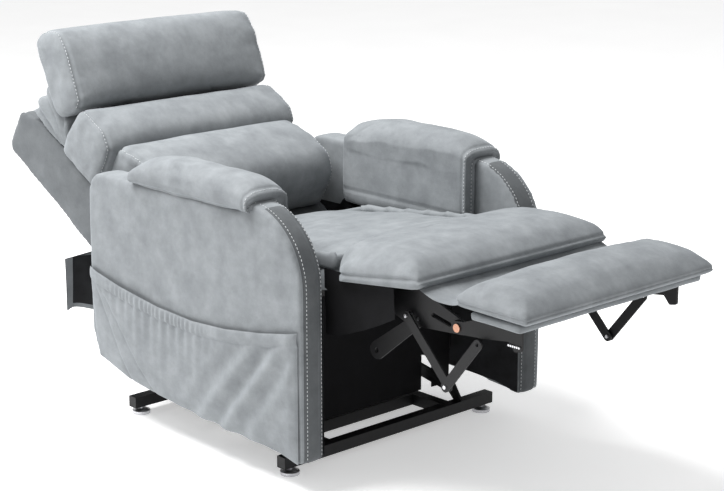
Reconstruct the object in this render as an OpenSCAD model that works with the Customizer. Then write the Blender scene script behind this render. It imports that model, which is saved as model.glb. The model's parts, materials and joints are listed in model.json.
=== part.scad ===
// Lift recliner chair: base with lift arms, chassis with arms, reclining back, folding two-part leg rest.
// Drawn reclined, leg rest out and lift down. The chair faces -Y, +X is the sitter's left, +Z is up.
// Sizes below are taken from the front of the arms (y = 0); the whole chair is then moved so that
// the middle of its footprint is the origin.

/* [Arms] */
// Overall width over the arm panels
chair_w = 760; // [740:10:780]
// Thickness of one arm panel
arm_t = 68; // [60:1:72]
// Depth of an arm panel, front to rear
arm_d = 768; // [760:1:776]
// Height of an arm panel's top above the floor
arm_top = 602; // [598:1:606]
// Height of an arm panel's lower edge above the floor
arm_bottom = 66; // [60:1:80]
// Radius of the rounded front of the arm
arm_front_r = 172; // [160:1:176]
// Top of the arm pad above the floor
pad_top = 662; // [655:1:668]
// Where the arm pad starts, behind the front of the arm
pad_y0 = 150; // [145:1:160]
// Where the arm pad ends
pad_y1 = 590; // [580:1:592]

/* [Seat and leg rest] */
// Half width of the seat cushion
seat_hw = 264; // [258:1:266]
// Half width of the leg rest cushions
rest_hw = 297; // [290:1:298]
// Height of the leg rest hinge
leg_hinge_z = 460; // [458:1:462]
// Front edge of the upper leg cushion
leg_front_y = -268; // [-270:1:-262]
// Front edge of the foot pad
foot_front_y = -562; // [-566:1:-556]

/* [Back] */
// Angle of the reclined back above the horizontal
back_angle = 29.4; // [28:0.2:30]
// Half width of the back shell
back_hw = 290; // [286:1:290]
// Length of the back shell above its hinge
back_len = 660; // [640:1:664]
// Angle between the head cushion and the back
head_angle = 36; // [35:1:37]

/* [Base] */
// Half length of the front floor bar
bar_hl = 334; // [320:1:336]
// Size of the square floor tubes
tube = 27; // [25:1:28]
// Height of the floor tubes' lower face above the floor
tube_z = 19; // [18:1:20]

/* [Hidden] */
$fn = 48;

arm_x1 = chair_w / 2;            // outer face of an arm
arm_x0 = arm_x1 - arm_t;         // inner face of an arm
pad_x0 = arm_x0 - 36;
pad_x1 = arm_x1 + 16;
pad_low_out = 586;               // lower edges of the pad's outer and inner flanges
pad_low_in = 472;
pin_r = 6;
clear = 0.06;                    // running clearance of a pin in its hole, on the radius

// Pivots, as [y, z]
lift_hinge = [150, 82];
lift_pivot = [520, 152];
leg_hinge = [25, leg_hinge_z];
foot_hinge = [-330, 427];
drive_pivot = [-209, 418];
v_pivot = [-190, 424];
v_knee = [-312, 300];
v_end = [-400, 410];
back_hinge = [575, 425];
head_pivot = [470, 25];          // along and out from the back, from the back's hinge

shell_r = 22;
shell_t0 = -203;                 // the shell's rear and front faces, out from the hinge
shell_t1 = -50;
y_rear = back_hinge[0] + (back_len - shell_r) * cos(back_angle)
       + (-shell_t0 - shell_r) * sin(back_angle) + shell_r;
y_shift = -(foot_front_y + y_rear) / 2;

// ---------- helpers ----------

// Moves chair coordinates to the part's origin
module placed() translate([0, y_shift, 0]) children();

// A side profile in (y, z), drawn from x = x0 to x = x1
module slab(x0, x1) translate([x0, 0, 0]) rotate([90, 0, 90]) linear_extrude(x1 - x0) children();

// The same slab on both sides of the chair
module both_slabs(x0, x1) for (side = [-1, 1]) slab(side > 0 ? x0 : -x1, side > 0 ? x1 : -x0) children();

module soft_outline(r) offset(r) offset(-r) children();

// A round bar along X through the point p = [y, z]
module bar_x(p, x0, x1, r) translate([x0, p[0], p[1]]) rotate([0, 90, 0]) cylinder(r = r, h = x1 - x0);

module both_bars(p, x0, x1, r) for (side = [-1, 1]) bar_x(p, side > 0 ? x0 : -x1, side > 0 ? x1 : -x0, r);

// Outline of a flat link between two pivots, as two discs and a straight side on each
module link_2d(p, q, r) hull() {
    translate(p) circle(r);
    translate(q) circle(r);
}

// The back's own frame: its 2D x runs up along the back, its 2D y out towards the sitter
module on_back_2d() translate(back_hinge) rotate(back_angle) children();
module on_head_2d() on_back_2d() translate(head_pivot) rotate(head_angle) children();

module box_2d(x0, x1, y0, y1) polygon([[x0, y0], [x1, y0], [x1, y1], [x0, y1]]);

// ---------- base ----------

rail_x0 = 178;
rail_x1 = 206;
base_y0 = 108;
base_y1 = 690;
mid_bar_y = 228;
lug_x0 = 224;
lug_x1 = 230;
arm_bar_x0 = 213;
arm_bar_x1 = 221;

module base_frame() color("dimgray") placed() {
    translate([-bar_hl, base_y0, tube_z]) cube([2 * bar_hl, tube, tube]);
    translate([-bar_hl, base_y1 - tube, tube_z]) cube([2 * bar_hl, tube, tube]);
    translate([-rail_x1, mid_bar_y, tube_z]) cube([2 * rail_x1, tube, tube]);
    for (side = [-1, 1])
        translate([side > 0 ? rail_x0 : -rail_x1, base_y0, tube_z])
            cube([rail_x1 - rail_x0, base_y1 - base_y0, tube]);
}

module levelling_feet() color("silver") placed()
    for (x = [-1, 1] * (bar_hl - 26), y = [base_y0 + tube / 2, base_y1 - tube / 2])
        translate([x, y, 0]) {
            cylinder(r = 22, h = 8);
            translate([0, 0, 8]) cylinder(r1 = 20, r2 = 12, h = 5);
            cylinder(r = 6, h = tube_z);
        }

// Upright lugs on the front floor bar that carry the lift arms
module lift_lugs() color("dimgray") placed()
    both_slabs(lug_x0, lug_x1) difference() {
        hull() {
            translate(lift_hinge) circle(15);
            translate([base_y0, tube_z + tube]) square([tube, 1]);
        }
        translate(lift_hinge) circle(pin_r);
    }

module lift_hinge_pins() color("silver") placed()
    both_bars(lift_hinge, arm_bar_x0 - 5, lug_x1 + 5, pin_r);

motor_z = 80;
module lift_motor() color("#303134") placed() {
    translate([-42, 560, tube_z + tube]) cube([84, 90, 78]);
    translate([0, 562, motor_z]) rotate([90, 0, 0]) difference() {
        cylinder(r = 24, h = 190);
        translate([0, 0, 2]) cylinder(r = 9 + clear, h = 190);
    }
    translate([-20, 650, tube_z + tube]) cube([40, 39, 12]);
}

module lift_rod() color("silver") placed() translate([0, 555, motor_z]) rotate([90, 0, 0]) {
    cylinder(r = 9, h = 200);
    translate([0, 0, 200]) cylinder(r = 12, h = 16);
}

module lift_arms() color("#26272a") placed() {
    both_slabs(arm_bar_x0, arm_bar_x1) difference() {
        link_2d(lift_hinge, lift_pivot, 15);
        translate(lift_hinge) circle(pin_r + clear);
        translate(lift_pivot) circle(pin_r + clear);
    }
    along = 0.66;
    bar_x(lift_hinge + along * (lift_pivot - lift_hinge), -arm_bar_x0 - 1, arm_bar_x0 + 1, 11);
}

// ---------- chassis ----------

plate_x0 = 303;
plate_x1 = 308;

module lift_pivot_bolts() color("silver") placed()
    both_bars(lift_pivot, arm_bar_x0 - 6, lug_x1 + 6, pin_r);

module side_plates() color("#2b2c2f") placed()
    both_slabs(plate_x0, plate_x1) difference() {
        soft_outline(12) polygon([
            [228, 130], [735, 130], [735, 300], [612, 452], [556, 452], [520, 418], [228, 418]
        ]);
        translate(back_hinge) circle(pin_r);
        soft_outline(20) polygon([[280, 190], [470, 190], [470, 360], [280, 360]]);
    }

tube_front = [243, 172];
tube_mid = [520, 205];
tube_rear = [700, 170];
module cross_tubes() color("#2b2c2f") placed() {
    for (p = [tube_front, tube_mid, tube_rear]) bar_x(p, -plate_x0, plate_x0, 14);
}

module lift_brackets() color("#2b2c2f") placed()
    both_slabs(lug_x0, lug_x1) difference() {
        link_2d(lift_pivot, tube_mid, 16);
        translate(lift_pivot) circle(pin_r);
        translate(tube_mid) circle(14);
    }

deck_z = 420;
deck_y0 = 46;
deck_y1 = 512;
deck_hw = 290;
module seat_frame() color("#3a3b3e") placed() {
    difference() {
        translate([-deck_hw, deck_y0, deck_z]) cube([2 * deck_hw, deck_y1 - deck_y0, 14]);
        translate([-deck_hw + 30, deck_y0 + 30, deck_z - 1])
            cube([2 * deck_hw - 60, deck_y1 - deck_y0 - 60, 16]);
    }
    both_slabs(deck_hw - 1, plate_x0) box_2d(300, 480, deck_z - 18, deck_z + 8);
    both_slabs(deck_hw - 6, deck_hw) box_2d(300, 480, deck_z - 18, deck_z + 1);
}

module seat_front_rail() color("#b08d5b") placed()
    translate([-226, 48, deck_z + 14]) cube([452, 52, 43]);

module seat_springs() color("silver") placed()
    for (i = [-2:2]) translate([i * 95 - 20, deck_y0 + 30, deck_z + 5]) {
        cube([6, deck_y1 - deck_y0 - 60, 4]);
        translate([34, 0, 0]) cube([6, deck_y1 - deck_y0 - 60, 4]);
        for (j = [0:4]) translate([0, 20 + j * 85, 0]) cube([40, 6, 4]);
    }

module seat_cushion() color("#7f8790") placed()
    slab(-seat_hw, seat_hw) soft_outline(16) polygon([
        [14, 478], [104, 478], [112, deck_z + 15], [505, deck_z + 15], [505, 470], [440, 476],
        [120, 512], [14, 530]
    ]);

arc_c = [arm_front_r, arm_top + 20 - arm_front_r];
module arm_outline() difference() {
    union() {
        // the lower edge rises towards the rear
        polygon([
            [0, arm_bottom], [80, arm_bottom + 14], [350, arm_bottom + 24], [500, arm_bottom + 36],
            [620, arm_bottom + 50], [arm_d - 28, arm_bottom + 81], [arm_d - 4, arm_bottom + 138],
            [arm_d, arm_bottom + 240], [arm_d, arc_c[1]], [0, arc_c[1]]
        ]);
        translate(arc_c) circle(arm_front_r, $fn = 96);
        translate([arm_front_r, arc_c[1] - 1]) square([arm_d - arm_front_r - 60, arm_top - arc_c[1] + 1]);
        translate([arm_d - 60, arm_top - 60]) circle(60);
        translate([arm_d - 100, arc_c[1] - 1]) square([100, arm_top - 59 - arc_c[1]]);
    }
    translate([pad_y0 + 40, arm_top]) square([arm_d, 60]);
}

bolt_pts = [[300, 160], [650, 160], [300, 385], [660, 330]];
module arm_solid(x0, x1) slab(x0, x1) difference() {
    arm_outline();
    for (p = bolt_pts) translate(p) circle(4);
}
module left_arm() color("#7f8790") placed() arm_solid(arm_x0, arm_x1);
module right_arm() color("#7f8790") placed() arm_solid(-arm_x1, -arm_x0);

// Saddle pad over an arm: a section in (x, z) with two flanges, drawn along the arm
module arm_pad(side) color("#868e97") placed() difference() {
    translate([0, pad_y1, 0]) rotate([90, 0, 0]) linear_extrude(pad_y1 - pad_y0)
        scale([side, 1]) soft_outline(12) polygon([
            [pad_x0, pad_low_in], [arm_x0 - 0.5, pad_low_in], [arm_x0 - 0.5, arm_top + 1],
            [arm_x1 + 0.5, arm_top + 1], [arm_x1 + 0.5, pad_low_out], [pad_x1, pad_low_out],
            [pad_x1, pad_top - 14], [pad_x1 - 26, pad_top], [pad_x0 + 26, pad_top], [pad_x0, pad_top - 14]
        ]);
    slab(side > 0 ? arm_x0 - 1 : -arm_x1 - 1, side > 0 ? arm_x1 + 1 : -arm_x0 + 1) offset(1) arm_outline();
}
module left_arm_pad() arm_pad(1);
module right_arm_pad() arm_pad(-1);

// Pocket sewn along its sides and bottom on the outside of the right arm
pocket_gap = 8;
pocket_t = 4;
pocket_low = 100;
pocket_high = 338;
seam_w = 12;
module side_pocket() color("#79818a") placed() {
    x = -arm_x1 - pocket_gap - pocket_t;
    y0 = 24;
    y1 = 742;
    rise = 62;
    slab(x, x + pocket_t) polygon([
        [y0, pocket_low], [y0, pocket_high + 20], [250, pocket_high - 18], [500, pocket_high - 18],
        [y1, pocket_high + 12], [y1, pocket_low + rise]
    ]);
    // the sewn front, rear and lower edges, each its own strip
    slab(x + pocket_t + 0.05, -arm_x1) {
        box_2d(y0, y0 + seam_w, pocket_low + seam_w + 3, pocket_high + 10);
        box_2d(y1 - seam_w, y1, pocket_low + rise + seam_w + 3, pocket_high + 2);
        polygon([
            [y0, pocket_low], [y1, pocket_low + rise],
            [y1, pocket_low + rise + seam_w], [y0, pocket_low + seam_w]
        ]);
    }
}

module arm_linings() color("#1d1e20") placed()
    both_slabs(arm_x0 - 2.5, arm_x0) soft_outline(8) box_2d(8, 222, arm_bottom + 26, 468);

module arm_bolts() color("silver") placed()
    for (p = bolt_pts) {
        both_bars(p, arm_x0 - 4, arm_x0 + 40, 4);
        both_bars(p, plate_x0 - 4, plate_x0, 8);
    }

leg_motor_z = 392;
module leg_motor() color("#303134") placed() {
    translate([-40, 420, leg_motor_z - 36]) cube([80, 84, 64]);
    translate([0, 422, leg_motor_z]) rotate([90, 0, 0]) difference() {
        cylinder(r = 22, h = 170);
        translate([0, 0, 2]) cylinder(r = 9 + clear, h = 170);
    }
}
module leg_rod() color("silver") placed() translate([0, 315, leg_motor_z]) rotate([90, 0, 0]) {
    cylinder(r = 9, h = 350);
    translate([0, 0, 350]) cylinder(r = 12, h = 20);
}

back_motor_z = 240;
module back_motor() color("#303134") placed() {
    translate([-110, 262, back_motor_z - 34]) cube([70, 84, 68]);
    translate([-75, 344, back_motor_z]) rotate([-90, 0, 0]) difference() {
        cylinder(r = 20, h = 120);
        translate([0, 0, 2]) cylinder(r = 8 + clear, h = 120);
    }
    translate([-100, 232, 186]) cube([50, 30, 70]);
}
module back_rod() color("silver") placed() translate([-75, 350, back_motor_z]) rotate([-90, 0, 0]) {
    cylinder(r = 8, h = 124);
    translate([0, 0, 124]) cylinder(r = 11, h = 16);
}

module power_box() color("#1d1e20") placed() translate([70, 640, 184]) cube([130, 90, 46]);

module leg_hinge_lugs() color("#2b2c2f") placed()
    both_slabs(240, 246) difference() {
        soft_outline(4) polygon([
            [12, 446], [38, 446], [46, deck_z + 14], [76, deck_z + 14], [60, 462], [40, 474], [12, 474]
        ]);
        translate(leg_hinge) circle(pin_r);
    }
module leg_hinge_pins() color("silver") placed()
    both_bars(leg_hinge, 228, 250, pin_r);

module back_hinge_pins() color("silver") placed()
    both_bars(back_hinge, 288, 311, pin_r);

// ---------- back ----------

wall = 9;
lumbar_hw = pad_x0 - 5;
shell_taper = [95, 32];          // the shell thins towards its top: over this length, by this much
module shell_2d() on_back_2d() soft_outline(shell_r) polygon([
    [-40, shell_t0], [back_len, shell_t0], [back_len, shell_t1 - shell_taper[1]],
    [back_len - shell_taper[0], shell_t1], [-40, shell_t1]
]);

module back_shell() color("#6f7780") placed() difference() {
    slab(-back_hw, back_hw) shell_2d();
    slab(-back_hw + wall, back_hw - wall) offset(-wall) shell_2d();
}

module back_frame() color("#b08d5b") placed() {
    both_slabs(245, back_hw - wall) on_back_2d() box_2d(-20, back_len - 20, -150, -120);
    for (s = [-20, 180, 400, back_len - 50])
        slab(-246, 246) on_back_2d() box_2d(s, s + 30, -150, -120);
}

module back_springs() color("silver") placed()
    for (s = [70, 120, 240, 290, 340, 460, 510, 560])
        slab(-245, 245) on_back_2d() box_2d(s, s + 6, -120, -114);

module back_brackets() color("#2b2c2f") placed()
    both_slabs(back_hw, back_hw + 5) difference() {
        on_back_2d() soft_outline(10) polygon([
            [-18, -80], [-18, 16], [18, 16], [30, -40], [180, -70], [180, -110], [0, -110]
        ]);
        translate(back_hinge) circle(pin_r + clear);
    }

module lumbar_cushion() color("#7f8790") placed()
    slab(-lumbar_hw, lumbar_hw) on_back_2d() soft_outline(14) polygon([
        [86, -49], [296, -49], [296, 66], [250, 82], [187, 94], [120, 94], [86, 60]
    ]);

roll_hw = rest_hw + 7;           // the upper back cushions are wider than the shell
module mid_cushion() color("#7f8790") placed()
    slab(-roll_hw + 2, roll_hw - 2) on_back_2d() soft_outline(12) polygon([
        [299, -49], [448, -49], [448, 0], [438, 60], [430, 88], [340, 92], [299, 68]
    ]);

// Folding hinge behind the head cushion
module head_hinge() color("#2b2c2f") placed()
    both_slabs(150, 156) difference() {
        on_back_2d() soft_outline(4) polygon([
            [456, 10], [456, shell_t1], [560, shell_t1], [560, -40], [490, -30], [484, 36], [462, 36]
        ]);
        on_back_2d() translate(head_pivot) circle(5 + clear);
    }

head_len = 222;
module head_board() color("#b08d5b") placed() {
    both_slabs(158, 164) difference() {
        on_head_2d() soft_outline(4) polygon([[-9, -10], [-9, 9], [20, 9], [60, -28], [60, -38], [10, -38]]);
        on_back_2d() translate(head_pivot) circle(5);
    }
    slab(-270, 270) on_head_2d() box_2d(30, head_len - 20, -38, -28);
    both_slabs(146, 168) on_back_2d() translate(head_pivot) circle(5);
}

// The cushion is cut away around its hinge ears
module head_cushion() color("#7f8790") placed() difference() {
    slab(-roll_hw, roll_hw) on_head_2d() soft_outline(24) polygon([
        [16, -27], [head_len, -27], [head_len + 6, 10], [head_len - 14, 70], [head_len - 70, 82], [17, 76]
    ]);
    both_slabs(144, 170) on_head_2d() box_2d(-20, 62, -40, 20);
}

skirt_top = [306, shell_t0 - 2];  // along and out from the back hinge
skirt_hw = 332;
skirt_tab_hw = 235;              // the skirt hangs from a narrower strip
skirt_tab = 50;
skirt_drop = 196;
skirt_yz = back_hinge + [
    skirt_top[0] * cos(back_angle) - skirt_top[1] * sin(back_angle),
    skirt_top[0] * sin(back_angle) + skirt_top[1] * cos(back_angle)
];
module rear_skirt() color("#6f7780") placed() translate([0, skirt_yz[0] + 2, skirt_yz[1] - 4]) {
    slab(-skirt_hw, skirt_hw) box_2d(0, 5, -skirt_drop, -skirt_tab);
    slab(-skirt_tab_hw, skirt_tab_hw) box_2d(0, 5, -skirt_tab - 1, 0);
}

// ---------- leg rest ----------

board_z = 476;
module leg_cushion() color("#7f8790") placed()
    slab(-rest_hw, rest_hw) soft_outline(14) polygon([
        [leg_front_y, 502], [leg_front_y + 12, 495], [8, 495], [8, 543], [-60, 556], [-160, 560],
        [leg_front_y + 30, 548], [leg_front_y, 520]
    ]);

module leg_board() color("#3a3b3e") placed()
    slab(-rail_x[0], rail_x[0]) box_2d(leg_front_y + 14, -8, board_z, 494.5);

rail_x = [232, 238];
module leg_rails() color("#232427") placed()
    both_slabs(rail_x[0], rail_x[1]) difference() {
        soft_outline(6) polygon([
            [36, 446], [36, 470], [8, 474], [-240, 494], [-252, 470], [-344, 438],
            [-344, 412], [-318, 410], [-220, 402], [-180, 400], [-60, 440]
        ]);
        translate(leg_hinge) circle(pin_r + clear);
        translate(foot_hinge) circle(pin_r);
        translate(drive_pivot) circle(4);
        translate(v_pivot) circle(4);
        link_2d([-252, 436], [-300, 426], 5);
    }

module foot_hinge_pins() color("#b87333") placed() {
    both_bars(foot_hinge, rail_x[0] - 3, 249.6, pin_r);
    both_bars(foot_hinge, rail_x[0] - 7, rail_x[0], 10);
    both_bars(foot_hinge, 246.7, 249.6, 9);
}

module link_bolts() color("silver") placed() {
    both_bars(drive_pivot, 219, rail_x[1], 4);
    both_bars(v_pivot, rail_x[0], 257.5, 4);
}

link_r = 11;
drive_len = 168;
drive_angle = -37;
drive_end = drive_pivot + drive_len * [cos(drive_angle), sin(drive_angle)];
module drive_links() color("#232427") placed()
    both_slabs(224, 229) difference() {
        hull() {
            translate(drive_pivot) circle(14);
            translate(drive_end) circle(20);
        }
        translate(drive_pivot) circle(4 + clear);
        translate(drive_end) circle(6);
    }

module v_rear_links() color("#232427") placed()
    both_slabs(250, 254) difference() {
        link_2d(v_pivot, v_knee, link_r);
        translate(v_pivot) circle(4 + clear);
        translate(v_knee) circle(4);
    }
module v_pins() color("silver") placed() both_bars(v_knee, 247.5, 264.5, 4);
module v_front_links() color("#232427") placed()
    both_slabs(257.8, 262) difference() {
        link_2d(v_knee, v_end, link_r);
        translate(v_knee) circle(4 + clear);
        translate(v_end) circle(4);
    }

foot_board_z = 470;
module foot_cushion() color("#7f8790") placed()
    slab(-rest_hw, rest_hw) soft_outline(12) polygon([
        [foot_front_y, 488], [foot_front_y + 8, 481], [-366, 481], [-366, 516], [-384, 532],
        [-440, 541], [-500, 536], [foot_front_y + 16, 522], [foot_front_y, 508]
    ]);
module foot_board() color("#3a3b3e") placed()
    slab(-284, 284) box_2d(foot_front_y + 30, -404, foot_board_z, 481);

module foot_brackets() color("#232427") placed()
    both_slabs(241, 246.5) difference() {
        soft_outline(5) polygon([
            [-316, 414], [-316, 440], [-345, 442], [-420, foot_board_z], [-505, foot_board_z],
            [-505, 416], [-486, 412], [-470, 430], [-400, 420]
        ]);
        translate(foot_hinge) circle(pin_r + clear);
    }
module foot_springs() color("silver") placed() for (i = [0:5])
    both_bars([-500 + i * 5.5, 424], 246.5, 249.4, 2.2);

base_frame();
levelling_feet();
lift_lugs();
lift_hinge_pins();
lift_motor();
lift_rod();
lift_arms();
lift_pivot_bolts();
side_plates();
cross_tubes();
lift_brackets();
seat_frame();
seat_front_rail();
seat_springs();
seat_cushion();
left_arm();
right_arm();
left_arm_pad();
right_arm_pad();
side_pocket();
arm_linings();
arm_bolts();
leg_motor();
leg_rod();
back_motor();
back_rod();
power_box();
leg_hinge_lugs();
leg_hinge_pins();
back_hinge_pins();
back_shell();
back_frame();
back_springs();
back_brackets();
lumbar_cushion();
mid_cushion();
head_hinge();
head_board();
head_cushion();
rear_skirt();
leg_cushion();
leg_board();
leg_rails();
foot_hinge_pins();
link_bolts();
drive_links();
v_rear_links();
v_front_links();
v_pins();
foot_cushion();
foot_board();
foot_brackets();
foot_springs();
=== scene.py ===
"""Lift recliner chair: upholstery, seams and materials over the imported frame, in metres."""
import json
import math

import bmesh
import bpy
import numpy as np
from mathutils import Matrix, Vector, noise
from mathutils.bvhtree import BVHTree


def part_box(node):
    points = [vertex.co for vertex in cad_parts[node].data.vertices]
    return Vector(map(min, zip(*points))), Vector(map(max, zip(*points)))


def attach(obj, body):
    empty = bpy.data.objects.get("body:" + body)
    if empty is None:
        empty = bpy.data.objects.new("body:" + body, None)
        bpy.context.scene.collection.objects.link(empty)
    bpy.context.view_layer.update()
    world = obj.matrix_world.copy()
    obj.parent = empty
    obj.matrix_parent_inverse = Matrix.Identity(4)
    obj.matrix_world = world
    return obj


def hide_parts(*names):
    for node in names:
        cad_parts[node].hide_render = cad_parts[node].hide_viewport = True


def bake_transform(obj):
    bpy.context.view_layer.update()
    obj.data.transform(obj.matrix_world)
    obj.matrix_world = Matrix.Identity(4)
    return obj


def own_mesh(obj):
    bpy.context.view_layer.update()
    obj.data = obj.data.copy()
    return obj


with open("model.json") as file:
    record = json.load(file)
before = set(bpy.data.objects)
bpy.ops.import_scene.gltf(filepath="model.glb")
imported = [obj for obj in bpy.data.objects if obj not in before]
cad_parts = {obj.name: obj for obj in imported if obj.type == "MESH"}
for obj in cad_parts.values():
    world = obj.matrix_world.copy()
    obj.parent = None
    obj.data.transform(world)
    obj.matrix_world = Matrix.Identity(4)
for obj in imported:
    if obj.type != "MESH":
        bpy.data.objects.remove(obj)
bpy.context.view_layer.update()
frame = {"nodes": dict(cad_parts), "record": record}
NODES = frame["nodes"]
SCENE = bpy.context.scene

# ---------- places, measured from the imported frame or given -----

def middle_of(node):
    low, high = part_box(node)
    return (low + high) / 2


ARM_LOW, ARM_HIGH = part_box("left_arm")
ARM_FRONT = ARM_LOW.y
ARM_IN, ARM_OUT = ARM_LOW.x, ARM_HIGH.x
PAD_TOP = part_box("left_arm_pad")[1].z
LEG_LOW, LEG_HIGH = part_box("leg_cushion")
FOOT_LOW, FOOT_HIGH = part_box("foot_cushion")
SEAT_LOW, SEAT_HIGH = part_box("seat_cushion")
SKIRT_LOW, SKIRT_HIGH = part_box("rear_skirt")
ROLL_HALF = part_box("mid_cushion")[1].x
BACK_HINGE = middle_of("back_hinge_pins")

# the frame's angles and edges that its boxes don't give
BACK_ANGLE, HEAD_ANGLE = 29.4, 36.0   # degrees: back above level, headrest above the back
HEAD_PIVOT = (0.470, 0.025)           # along and out from the back, from its hinge
PAD_HEM_OUT, PAD_HEM_IN = 0.586, 0.472
# the arm's lower edge: distance behind its front, and rise
ARM_EDGE_Y = (0.0, 0.08, 0.35, 0.50, 0.62, 0.74, 0.764)
ARM_EDGE_Z = (0.0, 0.014, 0.024, 0.036, 0.050, 0.081, 0.138)

LEFT = 1
SIDES = ((-LEFT, "right"), (LEFT, "left"))


def arm_edge(behind):
    """Height of an arm's lower edge at a distance behind its front."""
    return float(np.interp(behind, ARM_EDGE_Y, ARM_EDGE_Z))


# ---------- camera, light and floor ----------

SENSOR, LENS = 36, 91.4
CAMERA_PLACE = (-2.803, ARM_FRONT - 2.799, 1.510)
CAMERA_DOWN, CAMERA_TURN = 14.4, -42.9   # degrees
WORLD_LIGHT, FLOOR_GLOW = 0.50, 0.42


def make_camera():
    data = bpy.data.cameras.new("camera")
    data.sensor_width = SENSOR
    data.lens = LENS
    cam = bpy.data.objects.new("camera", data)
    SCENE.collection.objects.link(cam)
    cam.location = CAMERA_PLACE
    cam.rotation_euler = (math.radians(90 - CAMERA_DOWN), 0, math.radians(CAMERA_TURN))
    SCENE.camera = cam


def area_light(name, place, aim, size, power):
    data = bpy.data.lights.new(name, "AREA")
    data.shape = "DISK"
    data.size = size
    data.energy = power
    lamp = bpy.data.objects.new(name, data)
    SCENE.collection.objects.link(lamp)
    lamp.location = place
    lamp.rotation_euler = (Vector(aim) - Vector(place)).to_track_quat("-Z", "Y").to_euler()


def make_studio():
    world = bpy.data.worlds.new("studio")
    SCENE.world = world
    world.use_nodes = True
    background = world.node_tree.nodes["Background"]
    background.inputs["Color"].default_value = (1, 1, 1, 1)
    background.inputs["Strength"].default_value = WORLD_LIGHT
    area_light("key", place=(-1.2, 1.0, 3.5), aim=(-0.1, 0, 0.4), size=2.4, power=275)
    area_light("front", place=(-2.6, -3.2, 2.6), aim=(0, 0, 0.4), size=2.6, power=14)
    bpy.ops.mesh.primitive_plane_add(size=30, location=(0, 0, 0))
    floor = bpy.context.object
    floor.name = "floor"
    floor.data.materials.append(floor_material())
    SCENE.view_settings.view_transform = "Standard"


# ---------- materials ----------

class Nodes:
    """A material's node tree, with short calls for the nodes used here."""

    MIX_FACTOR, MIX_A, MIX_B, MIX_RESULT = 0, 6, 7, 2   # a colour mix node's sockets

    def __init__(self, name):
        self.material = bpy.data.materials.new(name)
        self.material.use_nodes = True
        self.tree = self.material.node_tree
        self.shader = self.tree.nodes["Principled BSDF"]
        self.coords = self.tree.nodes.new("ShaderNodeTexCoord").outputs["Object"]

    def set(self, **values):
        for key, value in values.items():
            self.shader.inputs[key.replace("_", " ")].default_value = value

    def noise(self, scale, detail=4.0, rough=0.55, stretch=None):
        node = self.tree.nodes.new("ShaderNodeTexNoise")
        node.inputs["Scale"].default_value = scale
        node.inputs["Detail"].default_value = detail
        node.inputs["Roughness"].default_value = rough
        vector = self.coords
        if stretch:
            mapping = self.tree.nodes.new("ShaderNodeMapping")
            mapping.inputs["Scale"].default_value = stretch
            self.tree.links.new(vector, mapping.inputs["Vector"])
            vector = mapping.outputs["Vector"]
        self.tree.links.new(vector, node.inputs["Vector"])
        return node.outputs["Fac"]

    def voronoi(self, scale):
        node = self.tree.nodes.new("ShaderNodeTexVoronoi")
        node.inputs["Scale"].default_value = scale
        self.tree.links.new(self.coords, node.inputs["Vector"])
        return node.outputs["Distance"]

    def ramp(self, value, *stops):
        node = self.tree.nodes.new("ShaderNodeValToRGB")
        elements = node.color_ramp.elements
        while len(elements) < len(stops):
            elements.new(0.5)
        for element, (place, colour) in zip(elements, stops):
            element.position = place
            element.color = (*colour, 1) if hasattr(colour, "__len__") else (colour, colour, colour, 1)
        self.tree.links.new(value, node.inputs["Fac"])
        return node.outputs["Color"]

    def mix(self, a, b, factor, blend="MIX"):
        node = self.tree.nodes.new("ShaderNodeMix")
        node.data_type = "RGBA"
        node.blend_type = blend
        for socket, value in ((self.MIX_A, a), (self.MIX_B, b), (self.MIX_FACTOR, factor)):
            if hasattr(value, "links"):
                self.tree.links.new(value, node.inputs[socket])
            else:
                node.inputs[socket].default_value = value
        return node.outputs[self.MIX_RESULT]

    def colour(self, output):
        self.tree.links.new(output, self.shader.inputs["Base Color"])

    def roughness(self, value, low, high):
        node = self.tree.nodes.new("ShaderNodeMapRange")
        node.inputs["To Min"].default_value = low
        node.inputs["To Max"].default_value = high
        self.tree.links.new(value, node.inputs["Value"])
        self.tree.links.new(node.outputs["Result"], self.shader.inputs["Roughness"])

    def bump(self, *layers):
        """Layers of (height, distance, strength), each over the one before."""
        previous = None
        for value, distance, strength in layers:
            node = self.tree.nodes.new("ShaderNodeBump")
            node.inputs["Distance"].default_value = distance
            node.inputs["Strength"].default_value = strength
            self.tree.links.new(value, node.inputs["Height"])
            if previous:
                self.tree.links.new(previous, node.inputs["Normal"])
            previous = node.outputs["Normal"]
        self.tree.links.new(previous, self.shader.inputs["Normal"])


# the cloth's shades, from dark to light, each with its place on the ramp
SUEDE_SHADES = ((0.26, (0.147, 0.157, 0.166)), (0.50, (0.188, 0.201, 0.210)), (0.76, (0.234, 0.248, 0.258)))


def suede(name, tint=1.0):
    """Brushed microfibre: soft cloudy patches where the nap lies differently, over a fine grain."""
    n = Nodes(name)
    clouds = n.noise(16, 5, 0.62)
    # tint darkens every shade; the darker copies of the cloth use it to paint shade
    patches = n.ramp(clouds, *((place, tuple(c * tint for c in shade)) for place, shade in SUEDE_SHADES))
    streaks = n.ramp(n.noise(70, 3, 0.6, (1, 0.45, 0.8)), (0.32, 0.80), (0.68, 1.12))
    grain = n.ramp(n.noise(900, 2, 0.5), (0.25, 0.86), (0.75, 1.10))
    n.colour(n.mix(n.mix(patches, streaks, 0.3, "MULTIPLY"), grain, 0.6, "MULTIPLY"))
    n.roughness(clouds, 0.78, 0.96)
    n.bump((n.noise(45, 3), 0.0022, 0.22), (n.noise(1100, 2), 0.0005, 0.35),
           (n.voronoi(520), 0.0006, 0.12))
    n.set(Sheen_Weight=0.22, Sheen_Roughness=0.45, Specular_IOR_Level=0.2)
    n.shader.inputs["Sheen Tint"].default_value = (0.82, 0.88, 0.95, 1)
    return n.material


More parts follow.
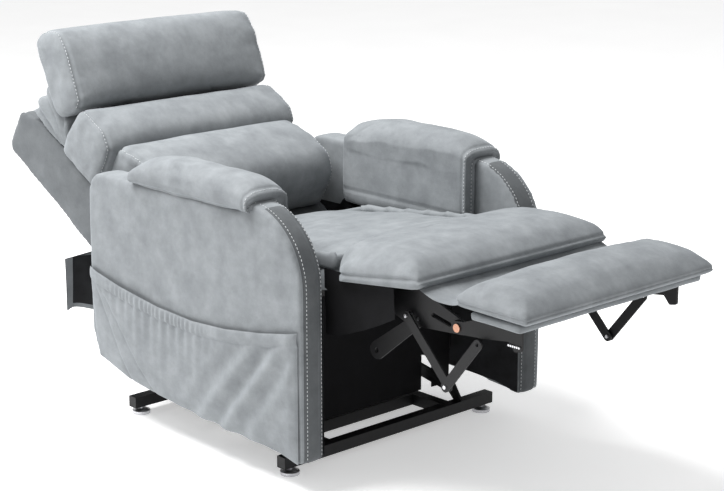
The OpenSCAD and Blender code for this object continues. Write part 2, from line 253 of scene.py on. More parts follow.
def plain_cloth(name, low, high, scale=260):
    """A flat woven lining: two crossed sets of threads over a soft mottle."""
    n = Nodes(name)
    mottle = n.noise(24, 4)
    n.colour(n.ramp(mottle, (0.3, low), (0.7, high)))
    across = n.noise(scale, 1, 0.3, (1, 8, 1))
    along = n.noise(scale, 1, 0.3, (8, 1, 8))
    n.roughness(mottle, 0.82, 0.95)
    n.bump((across, 0.0006, 0.3), (along, 0.0006, 0.3))
    n.set(Specular_IOR_Level=0.2)
    return n.material


def thread():
    n = Nodes("stitch_thread")
    twist = n.noise(1500, 2)
    n.colour(n.ramp(twist, (0.3, (0.42, 0.44, 0.45)), (0.7, (0.62, 0.64, 0.65))))
    n.roughness(twist, 0.55, 0.75)
    n.bump((twist, 0.0003, 0.4))
    return n.material


def painted_steel():
    n = Nodes("painted_steel")
    peel = n.noise(320, 3)
    wear = n.noise(22, 5, 0.65)
    n.colour(n.ramp(wear, (0.35, (0.002, 0.002, 0.0025)), (0.68, (0.006, 0.006, 0.007))))
    n.roughness(wear, 0.42, 0.62)
    n.bump((peel, 0.0004, 0.25))
    n.set(Specular_IOR_Level=0.3)
    return n.material


def metal(name, low, high, rough_low, rough_high):
    n = Nodes(name)
    grain = n.noise(420, 3, 0.6, (0.15, 1, 1))
    n.colour(n.ramp(grain, (0.3, low), (0.7, high)))
    n.roughness(n.noise(60, 4), rough_low, rough_high)
    n.bump((grain, 0.0002, 0.3))
    n.set(Metallic=1.0)
    return n.material


def plastic():
    n = Nodes("moulded_plastic")
    texture = n.voronoi(900)
    n.colour(n.ramp(n.noise(30, 4), (0.3, (0.007, 0.007, 0.008)), (0.7, (0.015, 0.015, 0.017))))
    n.roughness(texture, 0.4, 0.6)
    n.bump((texture, 0.0003, 0.3))
    return n.material


def wood():
    n = Nodes("plywood")
    grain = n.noise(18, 6, 0.6, (0.6, 6, 9))
    n.colour(n.ramp(grain, (0.3, (0.33, 0.21, 0.11)), (0.5, (0.50, 0.35, 0.20)), (0.7, (0.62, 0.46, 0.28))))
    n.roughness(grain, 0.55, 0.75)
    n.bump((grain, 0.0008, 0.25))
    return n.material


def floor_material():
    n = Nodes("pale_floor")
    fine = n.noise(3, 3)
    n.colour(n.ramp(fine, (0.3, 0.90), (0.7, 0.94)))
    n.set(Roughness=0.8, Specular_IOR_Level=0.1,
          Emission_Color=(1, 1, 1, 1), Emission_Strength=FLOOR_GLOW)
    return n.material


# ---------- mesh tools ----------

def apply_modifiers(obj):
    graph = bpy.context.evaluated_depsgraph_get()
    mesh = bpy.data.meshes.new_from_object(obj.evaluated_get(graph))
    obj.modifiers.clear()
    obj.data = mesh


def new_object(name, verts, faces):
    mesh = bpy.data.meshes.new(name)
    mesh.from_pydata([tuple(v) for v in verts], [], faces)
    mesh.validate()
    obj = bpy.data.objects.new(name, mesh)
    SCENE.collection.objects.link(obj)
    return obj


def points(obj):
    co = np.empty(len(obj.data.vertices) * 3)
    obj.data.vertices.foreach_get("co", co)
    return co.reshape(-1, 3)


def set_points(obj, co):
    obj.data.vertices.foreach_set("co", np.asarray(co, float).ravel())
    obj.data.update()


def normals(obj):
    no = np.empty(len(obj.data.vertices) * 3)
    obj.data.vertices.foreach_get("normal", no)
    return no.reshape(-1, 3)


def push(obj, amount):
    """Moves each point along its normal by amount, an array in metres."""
    set_points(obj, points(obj) + normals(obj) * np.asarray(amount)[:, None])


def cad_copy(node, name):
    obj = bpy.data.objects.new(name, NODES[node].data.copy())
    obj.data.materials.clear()
    SCENE.collection.objects.link(obj)
    return obj


def remesh(obj, voxel, rounding, regain=0.0):
    """Even quads over a piece, its edges rounded; regain moves the faces back out, in metres."""
    mod = obj.modifiers.new("remesh", "REMESH")
    mod.mode = "VOXEL"
    mod.voxel_size = voxel
    if rounding:
        smooth = obj.modifiers.new("round", "SMOOTH")
        smooth.factor = 0.5
        smooth.iterations = rounding
    apply_modifiers(obj)
    if regain:
        push(obj, np.full(len(obj.data.vertices), regain))


def subdivide(obj, levels=1):
    mod = obj.modifiers.new("subdivide", "SUBSURF")
    mod.levels = levels
    mod.render_levels = levels
    apply_modifiers(obj)


PRESSURE, FRAMES = 4.0, 20


def inflate(obj, cap, held):
    """Blows the cloth out from inside, by cap at most.

    held, from 0 to 1 a point, keeps seams and rested faces in place.
    """
    before = points(obj)
    group = obj.vertex_groups.new(name="held")
    for index, weight in enumerate(held):
        if weight > 0.02:
            group.add([index], float(min(weight, 1)), "REPLACE")
    mod = obj.modifiers.new("cloth", "CLOTH")
    mod.settings.use_pressure = True
    mod.settings.uniform_pressure_force = PRESSURE
    mod.settings.vertex_group_mass = "held"
    mod.settings.effector_weights.gravity = 0
    mod.settings.mass = 0.25
    mod.settings.quality = 4
    mod.settings.tension_stiffness = 12
    mod.settings.compression_stiffness = 8
    mod.settings.bending_stiffness = 0.4
    mod.point_cache.frame_start = 1
    mod.point_cache.frame_end = FRAMES
    for step in range(1, FRAMES + 1):
        SCENE.frame_set(step)
    apply_modifiers(obj)
    SCENE.frame_set(1)
    moved = points(obj) - before
    size = np.linalg.norm(moved, axis=1, keepdims=True)
    set_points(obj, before + moved * np.minimum(1, cap / np.maximum(size, 1e-9)))


def ripple(x, y, z):
    """Smooth noise from -1 to 1 at a place."""
    return noise.noise(Vector((x, y, z)))


def wrinkles(co, scale, stretch, seed):
    """Smooth noise from -1 to 1 at each point."""
    k = np.asarray(stretch, float) * scale
    return np.array([ripple(x * k[0] + seed, y * k[1], z * k[2]) for x, y, z in co])


def bell(distance, width):
    """1 where distance is 0, and close to 0 beyond twice the width."""
    return np.exp(-(np.asarray(distance) / width) ** 2)


def finish_piece(obj, material, body, slot, *replaced):
    """Gives a piece its material and the body it rides on, and hides the frame nodes it stands for; slot is
    not used.
    """
    obj.data.materials.clear()
    obj.data.materials.append(material)
    obj.data.polygons.foreach_set("use_smooth", [True] * len(obj.data.polygons))
    obj.data.update()
    if body:
        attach(obj, body)
    if replaced:
        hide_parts(*replaced)


def grid(name, across, along, place):
    """A cloth grid: place(u, v) gives the point at u across and v along, each from 0 to 1."""
    verts = [place(i / across, j / along) for j in range(along + 1) for i in range(across + 1)]
    faces = []
    for j in range(along):
        for i in range(across):
            a = j * (across + 1) + i
            faces.append((a, a + 1, a + across + 2, a + across + 1))
    return new_object(name, verts, faces)


def cloth_size(obj, across, along):
    """Mean width and length of a finished grid, measured on the mesh itself."""
    co = points(obj).reshape(along + 1, across + 1, 3)
    width = np.linalg.norm(np.diff(co, axis=1), axis=2).sum(1).mean()
    length = np.linalg.norm(np.diff(co, axis=0), axis=2).sum(0).mean()
    return float(width), float(length)


def sheet(name, across, along, place, finish):
    """A grid made into a finished piece, whose size is then measured on its own mesh.
    """
    obj = grid(name, across, along, place)
    finish_piece(obj, *finish)
    width, length = cloth_size(obj, across, along)
    return obj


# ---------- stitching ----------

SHORTEST_RUN = 4   # points


def section_line(obj, point, normal, keep):
    """Ordered points where a plane cuts a mesh, in runs that pass keep(place, normal)."""
    bm = bmesh.new()
    bm.from_mesh(obj.data)
    bm.normal_update()
    tree = BVHTree.FromBMesh(bm)
    cut = bmesh.ops.bisect_plane(bm, geom=bm.verts[:] + bm.edges[:] + bm.faces[:],
                                 plane_co=point, plane_no=normal)
    edges = [e for e in cut["geom_cut"] if isinstance(e, bmesh.types.BMEdge)]
    links = {}
    for e in edges:
        for v in e.verts:
            links.setdefault(v, []).append(e)
    used, runs = set(), []
    for start in edges:
        if start in used:
            continue
        used.add(start)
        chain = list(start.verts)
        for end in (-1, 0):   # grows at its last point, then at its first
            following = [e for e in links[chain[end]] if e not in used]
            while following:
                used.add(following[0])
                other = following[0].other_vert(chain[end])
                chain = chain + [other] if end else [other] + chain
                following = [e for e in links[other] if e not in used]
        run = []
        for v in chain:
            facing = tree.find_nearest(v.co)[1]
            if keep(v.co, facing):
                run.append((v.co.copy(), facing.copy()))
            else:
                runs.append(run)
                run = []
        runs.append(run)
    bm.free()
    return [run for run in runs if len(run) >= SHORTEST_RUN]


# a stitch's spacing, length and thread radius, in metres
PITCH, STITCH, THREAD_R = 0.0090, 0.0060, 0.0009
# one stitch: points in half lengths along, radii sideways and radii out, and its faces
STITCH_POINTS = ((-1, 0, -0.4), (-0.55, 1, 0.1), (-0.55, 0, 1), (-0.55, -1, 0.1),
                 (0.55, 1, 0.1), (0.55, 0, 1), (0.55, -1, 0.1), (1, 0, -0.4))
STITCH_FACES = ((0, 2, 1), (0, 3, 2), (0, 1, 3), (1, 2, 5, 4), (2, 3, 6, 5), (3, 1, 4, 6),
                (7, 4, 5), (7, 5, 6), (7, 6, 4))


def stitch_mesh(name, runs):
    """Short raised threads along the runs."""
    verts, faces = [], []
    for run in runs:
        travelled, due = 0.0, PITCH / 2
        for (p, n), (q, m) in zip(run, run[1:]):
            step = (q - p).length
            while step > 0 and travelled + step >= due:
                t = (due - travelled) / step
                place = p.lerp(q, t)
                out = n.lerp(m, t).normalized()
                along = (q - p).normalized()
                side = along.cross(out).normalized()
                middle = place + out * THREAD_R * 0.4
                base = len(verts)
                for a, s, o in STITCH_POINTS:
                    verts.append(middle + along * a * STITCH / 2 + side * s * THREAD_R + out * o * THREAD_R)
                faces += [tuple(base + i for i in face) for face in STITCH_FACES]
                due += PITCH
            travelled += step
    return new_object(name, verts, faces)


def sew(obj, name, body, planes, keep):
    """Rows of contrast stitching where each plane (point, normal) cuts the piece."""
    runs = []
    for point, normal in planes:
        runs += section_line(obj, point, normal, keep)
    if runs:
        finish_piece(stitch_mesh(name, runs), THREAD, body, "suede")


# ---------- cushions ----------

VOXEL = 0.0075   # mesh size of the cushions while they are blown out


def edge_hold(co, half_width, band=0.02):
    """How firmly the end seams hold the cloth."""
    return bell(half_width - np.abs(co[:, 0]), band) * 0.9


def back_cushion(node, body, cap, folds, seam_inset, crown, spread, seed):
    """A roll of the back: full in front, sewn to a gusset at each end beside a row of thread.

    In metres, cap limits how far the cloth blows out, folds is how deep its folds are, seam_inset is
    how far in from each end the seam runs, crown is how far the front swells, and spread is how far
    the ends may pass the frame's.
    """
    name = node + "_cover"
    obj = cad_copy(node, name)
    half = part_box(node)[1].x
    remesh(obj, VOXEL, 22, 0.0045)
    co = points(obj)
    co[:, 0] *= (half + spread / 2) / np.abs(co[:, 0]).max()
    set_points(obj, co)
    inflate(obj, cap, edge_hold(co, half))
    subdivide(obj)
    co, no = points(obj), normals(obj)
    span = np.clip(1 - (np.abs(co[:, 0]) / half) ** 2, 0, 1)
    front = np.clip(-no[:, 1] * 0.8 + no[:, 2] * 0.5, 0, 1)
    swell = crown * span ** 0.3 * front
    seam = -0.0040 * bell(half - seam_inset - np.abs(co[:, 0]), 0.004) * (no[:, 2] - no[:, 1] > 0)
    creases = folds * wrinkles(co, 9, (1.4, 1, 1), seed) * front
    near_end = bell(half - np.abs(co[:, 0]), 0.07)
    pulls = folds * 0.9 * near_end * wrinkles(co, 26, (0.5, 1.2, 1.2), seed + 7)
    push(obj, swell + seam + creases + pulls)
    co = points(obj)
    co[:, 0] = np.clip(co[:, 0], -half - spread, half + spread)
    set_points(obj, co)
    finish_piece(obj, SUEDE, body, "suede", node)
    rows = [(Vector((s * (half - seam_inset + 0.006), 0, 0)), Vector((1, 0, 0))) for s in (-1, 1)]
    sew(obj, name + "_stitches", body, rows, lambda p, n: n.z * 0.6 - n.y > 0.10 and abs(n.x) < 0.97)


def round_corners(co, high, gap):
    """Rounds a pad's two rear corners in plan, and returns gap, the distance in from the edge, to match."""
    corner = 0.065
    dx = np.abs(co[:, 0]) - (high.x - corner)
    dy = co[:, 1] - (high.y - corner)
    away = np.hypot(dx, dy)
    inside = (dx > 0) & (dy > 0)
    pull = np.where(inside & (away > corner), corner / np.maximum(away, 1e-6), 1.0)
    co[:, 0] += np.where(inside, np.sign(co[:, 0]) * dx * (pull - 1), 0)
    co[:, 1] += np.where(inside, dy * (pull - 1), 0)
    return np.where(inside, np.clip(corner - away * pull, 0, corner), gap)


def pillow(node, body, cap, crown, seam_z, rear_seam, side_drop, seed):
    """A leg rest cushion: domed, and drawn in to one seam round its edge, with pointed corners.

    rear_seam says that the seam goes round the rear too. Where it doesn't, the cushion runs on into
    the seat's cloth at the rear, and its seam drops there by side_drop at each side.
    """
    obj = cad_copy(node, node + "_cover")
    low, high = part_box(node)
    remesh(obj, VOXEL, 4)
    co = points(obj)
    held = edge_hold(co, high.x, 0.015) + bell(co[:, 1] - low.y, 0.012)
    inflate(obj, cap, np.clip(held + (co[:, 2] < low.z + 0.006) * 0.9, 0, 1))
    subdivide(obj)
    co = points(obj)
    reach = 0.045   # how far in from the edge the dome starts to fall
    gap = np.minimum(high.x - np.abs(co[:, 0]), co[:, 1] - low.y)
    if rear_seam:
        gap = np.minimum(gap, high.y - co[:, 1])
    else:
        gap = round_corners(co, high, gap)
    ease = np.clip(gap / reach, 0, 1)
    # thin to a fifth at the edge, in a round curve
    thick = np.sqrt(np.clip(1 - (1 - ease) ** 2, 0, 1)) * 0.80 + 0.20
    if not rear_seam:
        thick = np.where(co[:, 2] < seam_z, 0.9, thick)
    co[:, 2] = seam_z + (co[:, 2] - seam_z) * thick
    # shares from 0 to 1: up from the seam, out past the rails, and back from the front
    upper = np.clip((co[:, 2] - seam_z) / max(high.z - seam_z, 1e-6), 0, 1)
    outside = np.clip((np.abs(co[:, 0]) - 0.245) / 0.03, 0, 1)
    rearward = np.clip((co[:, 1] - low.y - 0.02) / 0.23, 0, 1)
    slope = side_drop * outside * rearward
    flatter = 0.0 if rear_seam else 0.22   # how much lower the dome is at the rear
    wall = np.where(co[:, 2] < seam_z, 1 - 0.3 * outside * rearward, 1 - flatter * rearward)
    co[:, 2] = seam_z + (co[:, 2] - seam_z) * wall - slope * (1 - 0.3 * upper)
    dome = np.clip(1 - (np.abs(co[:, 0]) / high.x) ** 2.4, 0, 1)
    co[:, 2] += crown * upper * dome * ease ** 0.5
    set_points(obj, co)
    no = normals(obj)
    groove = -0.0035 * bell(co[:, 2] - seam_z + slope, 0.004) * (gap < 0.02)
    creases = 0.0022 * wrinkles(co, 8, (1, 1.6, 1), seed) * np.clip(no[:, 2], 0, 1)
    pulls = 0.0028 * bell(gap, 0.045) * wrinkles(co, 24, (1.2, 1.2, 0.4), seed + 5) * upper
    push(obj, groove + creases + pulls)
    finish_piece(obj, SUEDE, body, "suede", node)


def seat():
    """The seat cushion: its top falls away to both sides, with folds drawn in from them."""
    obj = cad_copy("seat_cushion", "seat_cushion_cover")
    remesh(obj, VOXEL, 5)
    co = points(obj)
    rest = (co[:, 2] < SEAT_LOW.z + 0.05) * 0.95
    inflate(obj, 0.006, np.clip(edge_hold(co, SEAT_HIGH.x) + rest, 0, 1))
    subdivide(obj)
    co, no = points(obj), normals(obj)
    half = SEAT_HIGH.x
    top = np.clip(no[:, 2], 0, 1)
    dome = 0.002 - 0.030 * (np.abs(co[:, 0]) / half) ** 2.4 * (co[:, 2] > SEAT_LOW.z + 0.02)
    folds = 0.0035 * wrinkles(co, 9, (1, 1.8, 1), 3.1) * top
    near_side = bell(half - np.abs(co[:, 0]), 0.06)
    side_pulls = 0.004 * near_side * wrinkles(co, 22, (0.5, 1.6, 1), 5.7) * top
    push(obj, dome * top + folds + side_pulls)
    finish_piece(obj, SUEDE, "chassis", "suede", "seat_cushion")


def seat_bridge():
    """Cloth that runs from the seat over the hinge to the leg rest, with folds by the arms."""
    half, across, along = SEAT_HIGH.x + 0.024, 96, 26
    start, end = SEAT_LOW.y + 0.060, LEG_HIGH.y - 0.075

    def place(u, v):
        x = (2 * u - 1) * half
        y = start + (end - start) * v
        x *= 1 - 0.10 * v
        out = abs(2 * u - 1)       # 0 in the middle, 1 at each side
        inset = half * (1 - out)   # in from the side, in metres
        # it climbs to the leg rest and falls away to the sides
        z = SEAT_LOW.z + 0.095 + 0.030 * v - 0.062 * out ** 3
        z -= 0.012 * out ** 1.5 * bell(v - 0.55, 0.22)
        # folds near the sides, and a soft unevenness all over
        edge = bell(inset, 0.09) * min(1.0, inset / 0.03)
        z += 0.005 * edge * ripple(x * 18, y * 34, 2.0)
        z += 0.0022 * ripple(x * 9, y * 16, 5.0)
        # the sides turn down, and both ends dip under the cushions
        z -= 0.045 * max(0.0, 1 - inset / 0.030) ** 1.5 * (1 - 0.7 * v)
        z -= 0.016 * (max(0.0, 0.25 - v) / 0.25) ** 1.5 + 0.012 * (max(0.0, v - 0.85) / 0.15) ** 1.5
        return Vector((x, y, z))

    obj = sheet("seat_bridge_cloth", across, along, place, (SUEDE, None, "suede"))
    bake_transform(obj)


def deck_cloth():
    """Cloth between the seat cushion and each arm."""
    across, along = 10, 70
    for side, hand in SIDES:
        def place(u, v):
            # from under the cushion's edge almost to the arm, with a slight sag
            x = SEAT_HIGH.x - 0.012 + (ARM_IN - 0.004 - SEAT_HIGH.x + 0.012) * u
            y = SEAT_LOW.y + 0.036 + 0.452 * v
            z = SEAT_LOW.z + 0.006 - 0.003 * math.sin(math.pi * u)
            return Vector((side * x, y, z))
        sheet(hand + "_deck_cloth", across, along, place, (SUEDE, "chassis", "suede"))


def arm_pad(side, hand):
    """A padded saddle over the arm, rounded at its ends, with a stitched seam round its front."""
    node, name = hand + "_arm_pad", hand + "_pad_cover"
    obj = cad_copy(node, name)
    low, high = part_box(node)
    remesh(obj, 0.006, 6)
    co = points(obj)
    middle = (low.x + high.x) / 2
    flange = (co[:, 2] < PAD_TOP - 0.075) * 0.9
    inflate(obj, 0.007, np.clip(flange + bell(co[:, 1] - low.y, 0.02) * 0.6, 0, 1))
    subdivide(obj)
    co, no = points(obj), normals(obj)
    # the ends slope down in round curves, the rear over a longer way
    front = np.clip((co[:, 1] - low.y) / 0.085, 0, 1)
    rear = np.clip((high.y - co[:, 1]) / 0.180, 0, 1)
    drop = (1 - np.sqrt(1 - (1 - front) ** 2)) * 0.040 + (1 - np.sqrt(1 - (1 - rear) ** 2)) * 0.044
    depth = 0.062   # of the padding over the arm
    above = np.clip((co[:, 2] - (PAD_TOP - depth)) / depth, 0, 1)
    co[:, 2] -= drop * above
    # the inner flange reaches down behind the seat's edge
    stretch_z, stretch = 0.505, 1.75
    inner = (np.abs(co[:, 0]) < ARM_IN) & (co[:, 2] < stretch_z)
    co[:, 2] = np.where(inner, stretch_z - (stretch_z - co[:, 2]) * stretch, co[:, 2])
    set_points(obj, co)
    # a crowned top, a front face drawn in behind its seam, and a hem along each flange
    crown = 0.005 * np.clip(no[:, 2], 0, 1) * bell(co[:, 0] - middle, 0.05)
    folds = 0.0022 * wrinkles(co, 12, (1, 1.4, 1), 11.0 + side)
    face = np.clip(-no[:, 1] - 0.55, 0, 0.4) / 0.4
    seam = -0.0025 * bell(co[:, 1] - (low.y + 0.016), 0.003)
    hem_z = np.where(np.abs(co[:, 0]) > abs(middle), PAD_HEM_OUT, PAD_HEM_IN)
    hem = -0.0025 * bell(co[:, 2] - (hem_z + 0.014), 0.004)
    push(obj, crown + folds + seam - 0.010 * face + hem * (np.abs(no[:, 0]) > 0.6))
    # the inner face stays clear of the lumbar cushion when the back is upright
    co = points(obj)
    inner_limit = min(abs(low.x), abs(high.x)) - 0.001
    co[:, 0] = side * np.maximum(side * co[:, 0], inner_limit)
    set_points(obj, co)
    finish_piece(obj, SUEDE, "chassis", "suede", node)
    rows = [(Vector((0, low.y + 0.009, 0)), Vector((0, 1, 0)))]
    sew(obj, name + "_stitches", "chassis", rows,
        lambda p, n: n.z > -0.3 and (n.x * (p.x - middle) > 0 or n.z > 0.3))


# ---------- arms, pocket, back ----------

BAND_REACH = 0.165   # how far behind the arm's front its band runs over the arc


def arm_cover(side, hand):
    """Upholstered arm: a soft outer face, a front band with a seam at each edge and darker cloth as painted
    shade, an uneven lower hem.
    """
    node, name = hand + "_arm", hand + "_arm_cover"
    obj = cad_copy(node, name)
    remesh(obj, 0.009, 3)
    subdivide(obj)
    co, no = points(obj), normals(obj)
    out_face = np.clip(no[:, 0] * side, 0, 1)
    y = co[:, 1] - ARM_FRONT
    height = co[:, 2]
    # long soft drapes below the pocket's mouth, and gentle swelling above
    lower = np.clip((0.42 - height) / 0.30, 0, 1)
    drape = 0.0055 * lower * wrinkles(co, 7, (0.3, 1.5, 0.45), 20.0 + side)
    swell = 0.0030 * wrinkles(co, 5, (0.3, 1, 1), 24.0 + side)
    upper_pull = 0.0022 * bell(height - 0.57, 0.05) * wrinkles(co, 16, (0.3, 1.7, 0.5), 27.0)
    # the front band swells between its two seams
    band = np.clip(-no[:, 1], 0, 1) * (y < 0.2)
    seams = sum(bell(np.abs(co[:, 0]) - edge, 0.0042) for edge in (ARM_IN + 0.012, ARM_OUT - 0.012))
    puff = 0.003 * band * bell(np.abs(co[:, 0]) - (ARM_IN + ARM_OUT) / 2, 0.03)
    push(obj, (drape + swell + upper_pull) * out_face - 0.0032 * seams * band + puff)
    co = points(obj)
    hem = np.clip((ARM_LOW.z + 0.05 - co[:, 2]) / 0.05, 0, 1)
    co[:, 2] += hem * 0.006 * wrinkles(co, 8, (0, 1.2, 0), 31.0 + side)
    set_points(obj, co)
    finish_piece(obj, SUEDE, "chassis", "suede", node)
    # the band's faces take a darker copy of the cloth, as painted shade on the front of the arm
    obj.data.materials.append(SUEDE_PAINTED_SHADE_BAND)   # the second slot, for the faces of the band
    limit = ARM_FRONT + BAND_REACH
    # the forward-facing faces of the band, which get the painted shade
    for face in obj.data.polygons:
        middle = face.center
        if ARM_IN + 0.003 < abs(middle.x) < ARM_OUT - 0.010 and middle.y < limit and face.normal.y < -0.25:
            face.material_index = 1
    rows = [(Vector((side * x, 0, 0)), Vector((1, 0, 0))) for x in (ARM_IN + 0.007, ARM_OUT - 0.018)]
    sew(obj, name + "_stitches", "chassis", rows, lambda p, n: p.y < limit and n.y < -0.12 and n.z > -0.5)


# height of the pocket's mouth, by distance behind the arm's front
MOUTH_Y = (0.0, 0.12, 0.24, 0.36, 0.49, 0.64, 0.77)
MOUTH_Z = (0.369, 0.344, 0.327, 0.319, 0.324, 0.345, 0.369)
# two sharp creases at the pocket's rear: where they cross height CREASE_Z, and their slope
CREASES, CREASE_Z = ((0.722, 0.62), (0.700, 0.92)), 0.305


def pocket():
    """The slack cloth panel outside the right arm, open along a gathered elastic band."""
    across, along = 220, 110
    front, band = ARM_FRONT + 0.008, 0.030
    gathered = 0.50   # distance behind the arm's front where the band is gathered most

    def place(u, v):
        y = front + (ARM_HIGH.y - 0.005 - 0.026 * (1 - v) ** 2 - front) * u
        back = y - ARM_FRONT
        top = float(np.interp(back, MOUTH_Y, MOUTH_Z))
        low = ARM_LOW.z + 0.003 + arm_edge(back)
        z = low + (top - low) * v
        ends = min(1.0, u / 0.03, (1 - u) / 0.05)   # 0 where it is sewn down, front and rear
        below = top - z
        out = 0.0095 * ends ** 0.5 * min(1.0, (z - low) / 0.05) ** 0.6
        if below < band:
            # a round band over the elastic, with small even gathers
            roll = math.sqrt(max(0.0, 1 - ((below - band / 2) / (band / 2)) ** 2))
            ridge = math.exp(-((back - gathered) / 0.17) ** 4)
            out += 0.0032 * roll + 0.0016 * ridge * roll * math.sin(back * 390 + 1.6 * math.sin(back * 61))
        else:
            # wider gathers that fade below the band
            near = math.exp(-(below - band) / 0.05)
            out -= 0.0018 * near * math.exp(-((back - gathered) / 0.20) ** 4) * math.sin(back * 195)
            # long folds that run down and rearwards from the front of the band
            lean = back - 0.92 * below
            fold = math.sin(lean * 62 + 0.9 * ripple(back * 5, z * 5, 1))
            reach = max(0.0, 1 - abs(lean - 0.06) / 0.20) * min(1.0, below / 0.07)
            out += 0.0058 * fold * reach * ends
            for start, slope in CREASES:
                crease = (back - (start - slope * (CREASE_Z - z))) / 0.0035
                out -= 0.0016 * math.exp(-crease * crease) * min(1.0, max(0.0, below - band) / 0.03)
        out += 0.0030 * ripple(back * 6, z * 4, 9) * ends
        return Vector((-ARM_OUT - 0.0008 - out, y, z))

    sheet("side_pocket_cover", across, along, place, (SUEDE, "chassis", "suede", "side_pocket"))


def inner_linings():
    """Black lining over the inner face of each arm, below the seat."""
    across, along = 60, 40
    start, length, top = 0.005, 0.736, 0.432
    for side, hand in SIDES:
        def place(u, v):
            y = ARM_FRONT + start + length * u
            edge = ARM_LOW.z + 0.008 + arm_edge(start + length * u)
            z = edge + (top - edge) * v
            x = ARM_IN - 0.0032 + 0.0003 * ripple(y * 8, z * 8, side)
            return Vector((side * x, y, z))
        replaced = ("arm_linings",) if side == LEFT else ()   # one frame node holds both linings
        sheet(hand + "_arm_lining", across, along, place, (LINING, "chassis", "lining", *replaced))


def under_curtain():
    """Black cloth hung under the seat in panels, with gaps for the leg rod and the lift arms."""
    y = ARM_FRONT + 0.224
    hem, top = 0.052, SEAT_LOW.z - 0.017
    over_lift_arms, under_rod = 0.140, 0.372
    # from x, to x, lower edge, upper edge
    panels = ((-0.300, -0.236, hem, top), (-0.236, -0.205, over_lift_arms, top), (-0.205, -0.016, hem, top),
              (-0.016, 0.016, hem, under_rod), (0.016, 0.205, hem, top),
              (0.205, 0.236, over_lift_arms, top), (0.236, 0.300, hem, top))
    for number, (x0, x1, low, high) in enumerate(panels):
        def place(u, v):
            x = x0 + (x1 - x0) * u
            z = low + (high - low) * v
            hang = (1 - v) * 0.0035 * ripple(x * 22, z * 3, 4.0)
            return Vector((x, y + hang, z))
        sheet("under_curtain_%d" % number, max(6, int((x1 - x0) / 0.006)), 50, place,
              (DUST_CLOTH, "chassis", "lining"))


def back_panel():
    """The back's outer shell in cloth darkened as painted shade, slack on its faces, with a seam along each
    side.
    """
    obj = cad_copy("back_shell", "back_shell_cover")
    remesh(obj, 0.008, 3)
    subdivide(obj)
    co, no = points(obj), normals(obj)
    puff = 0.004 * wrinkles(co, 5, (1, 1, 1), 41.0) * np.clip(1 - np.abs(no[:, 0]) * 0.4, 0, 1)
    side_folds = 0.0028 * wrinkles(co, 11, (0.4, 1, 1.3), 44.0)
    seam = -0.003 * bell(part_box("back_shell")[1].x - 0.014 - np.abs(co[:, 0]), 0.004)
    push(obj, puff + side_folds + seam * (np.abs(no[:, 0]) < 0.7))
    # the shell takes a darker copy of the cloth, painting the shade on the back
    finish_piece(obj, SUEDE_PAINTED_SHADE_BACK, "back", "suede", "back_shell")


def skirt():
    """The rear curtain, hemmed at its ends, lined, and hanging in waves."""
    across, along = 110, 28
    low, high = SKIRT_LOW, SKIRT_HIGH
    strip, strip_width = 0.275, 0.71   # shares of the height and width: a narrower strip holds the rest
    below, hem = 0.28, 0.035

    def place(u, v):
        half = high.x * (1 if v > strip else strip_width)
        x = half * (2 * u - 1)
        z = high.z - (high.z - low.z) * v
        wave = 0.010 * v * math.sin(u * 34) + 0.006 * v * ripple(u * 9, v * 2, 3)
        z += 0.010 * v * math.sin(u * 21 + 1)
        return Vector((x, (low.y + high.y) / 2 + wave, z))

    sheet("rear_skirt_cloth", across, along, place, (SUEDE, "skirt", "suede", "rear_skirt"))
    for number, (u0, u1) in enumerate(((0.0, hem), (1 - hem, 1.0))):
        turned = grid("rear_skirt_hem_%d" % number, 6, along,
                      lambda u, v: place(u0 + (u1 - u0) * u, below + 0.72 * v) + Vector((0, -0.0025, 0)))
        finish_piece(turned, SUEDE, "skirt", "suede")
    lining = grid("rear_skirt_lining", across - 10, along,
                  lambda u, v: place(hem + 0.93 * u, below + 0.66 * v) + Vector((0, -0.0018, 0)))
    finish_piece(lining, LINING, "skirt", "lining")


def foot_board_wrap():
    """The foot pad's board, wrapped in the same cloth with rounded edges."""
    obj = cad_copy("foot_board", "foot_board_wrap")
    remesh(obj, 0.005, 3, 0.0035)
    push(obj, 0.001 * wrinkles(points(obj), 14, (1, 1, 1), 61.0))
    finish_piece(obj, SUEDE, "foot", "wrapped_board", "foot_board")


def foot_flap():
    """Cloth between the two leg cushions."""
    across, along = 90, 16
    start = Vector((0, LEG_LOW.y + 0.020, LEG_LOW.z + 0.010))
    end = Vector((0, FOOT_HIGH.y - 0.012, FOOT_LOW.z + 0.014))
    half = LEG_HIGH.x - 0.012

    def place(u, v):
        x = (2 * u - 1) * half
        p = start.lerp(end, v)
        sag = -0.016 * math.sin(math.pi * v) + 0.004 * ripple(x * 10, v * 3, 6)
        return Vector((x, p.y, p.z + sag))

    obj = sheet("foot_flap", across, along, place, (SUEDE, "leg_upper", "suede"))
    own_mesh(obj)


def leg_lining():
    """Black lining that hangs under the seat front, each side of the mechanism."""
    across, along = 40, 24
    top = LEG_LOW.z - 0.008
    for side, hand in SIDES:
        def place(u, v):
            y = ARM_FRONT + 0.036 - 0.214 * u
            z = top - (0.150 - 0.080 * u ** 1.4) * v   # shorter towards the front
            x = LEG_HIGH.x - 0.018 - 0.004 * v + 0.005 * v * ripple(u * 5, v * 2, side)
            return Vector((side * x, y, z))
        obj = sheet(hand + "_leg_lining", across, along, place, (DUST_CLOTH, "leg_upper", "lining"))
        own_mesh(obj)


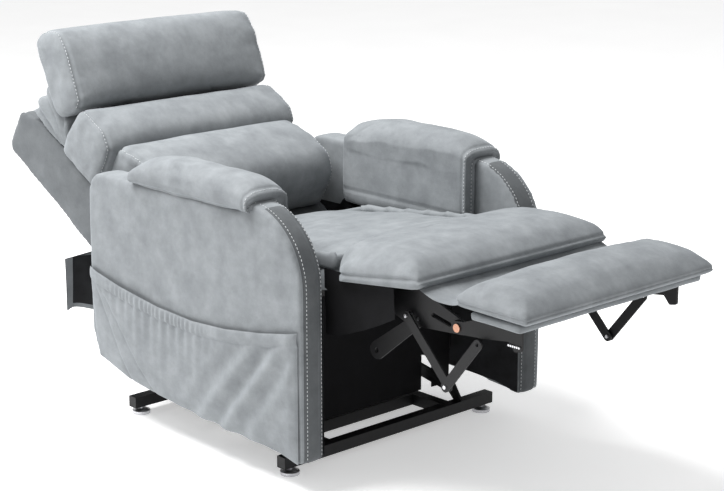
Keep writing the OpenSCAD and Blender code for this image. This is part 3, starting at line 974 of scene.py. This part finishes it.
def head_gather():
    """Slack cloth that fills the wedge between the back's shell and the head cushion, in folds."""
    half = ROLL_HALF - 0.010
    lean, tilt = math.radians(BACK_ANGLE), math.radians(BACK_ANGLE + HEAD_ANGLE)

    def turned(y, z, angle, s, t):
        """The point s along and t out from (y, z), in a frame turned by angle."""
        return y + s * math.cos(angle) - t * math.sin(angle), z + s * math.sin(angle) + t * math.cos(angle)

    def on_back(s, t):
        return turned(BACK_HINGE.y, BACK_HINGE.z, lean, s, t)

    def on_head(s, t):
        return turned(*on_back(*HEAD_PIVOT), tilt, s, t)

    section = [on_back(0.440, -0.046), on_back(0.570, -0.048), on_back(0.612, -0.046),
               on_head(0.105, -0.024), on_head(0.060, -0.020), on_back(0.452, 0.010)]
    count = len(section)
    verts = [(x, y, z) for x in (-half, half) for y, z in section]
    faces = [tuple(reversed(range(count))), tuple(range(count, 2 * count))]
    faces += [(i, (i + 1) % count, count + (i + 1) % count, count + i) for i in range(count)]
    obj = new_object("head_gather_cloth", verts, faces)
    remesh(obj, 0.006, 10)
    co, no = points(obj), normals(obj)
    fold_y, fold_z = section[0]   # the line that the folds fan out from
    away = np.hypot(co[:, 1] - fold_y, co[:, 2] - fold_z)
    turn = np.arctan2(co[:, 2] - fold_z, co[:, 1] - fold_y)
    folds = 0.0065 * np.sin(turn * 17 + 2.2 * wrinkles(co, 6, (1, 1, 1), 51.0)) * np.clip(away / 0.06, 0, 1)
    push(obj, folds + 0.002 * wrinkles(co, 20, (1, 1, 1), 53.0))
    finish_piece(obj, SUEDE, "back", "suede")
    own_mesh(obj)


# ---------- build ----------

make_camera()
make_studio()

SUEDE = suede("suede")
# a darker copy of the cloth, painting the shade on each arm's front band
SUEDE_PAINTED_SHADE_BAND = suede("suede_painted_shade_band", 0.42)
# a darker copy of the cloth, painting the shade on the back's shell
SUEDE_PAINTED_SHADE_BACK = suede("suede_painted_shade_back", 0.52)
LINING = plain_cloth("black_lining", (0.009, 0.009, 0.010), (0.020, 0.021, 0.023))
DUST_CLOTH = plain_cloth("dust_cloth", (0.0015, 0.0015, 0.002), (0.004, 0.004, 0.005))
BOARD = plain_cloth("board_wrap", (0.150, 0.160, 0.168), (0.215, 0.228, 0.238), 320)
THREAD = thread()
FINISHES = {
    "lining": LINING,
    "wrapped_board": BOARD,
    "black_steel": painted_steel(),
    "bright_steel": metal("bright_steel", (0.45, 0.45, 0.47), (0.72, 0.72, 0.74), 0.22, 0.42),
    "copper": metal("copper_ring", (0.34, 0.17, 0.11), (0.50, 0.29, 0.21), 0.30, 0.50),
    "black_plastic": plastic(),
    "wood": wood(),
}
for row in frame["record"]["subparts"]:
    if row["material_slot"] in FINISHES:
        # the head board's rear is in sight when the headrest folds back, so it is wrapped in cloth
        finish = "wrapped_board" if row["node"] == "head_board" else row["material_slot"]
        for entry in NODES[row["node"]].material_slots:
            entry.material = FINISHES[finish]

back_cushion("head_cushion", "headrest", cap=0.010, folds=0.0022, seam_inset=0.014,
             crown=0.008, spread=0.008, seed=1.0)
back_cushion("mid_cushion", "back", cap=0.012, folds=0.0028, seam_inset=0.014,
             crown=0.012, spread=0.008, seed=2.0)
back_cushion("lumbar_cushion", "back", cap=0.014, folds=0.0036, seam_inset=0.012,
             crown=0.032, spread=0.002, seed=4.0)
seat()
pillow("leg_cushion", "leg_upper", cap=0.006, crown=0.002, seam_z=LEG_LOW.z + 0.024,
       rear_seam=False, side_drop=0.034, seed=6.0)
pillow("foot_cushion", "foot", cap=0.008, crown=0.010, seam_z=FOOT_LOW.z + 0.018,
       rear_seam=True, side_drop=0.0, seed=8.0)
seat_bridge()
deck_cloth()
for side, hand in reversed(SIDES):
    arm_cover(side, hand)
for side, hand in reversed(SIDES):
    arm_pad(side, hand)
pocket()
inner_linings()
under_curtain()
back_panel()
skirt()
foot_board_wrap()
foot_flap()
leg_lining()
head_gather()
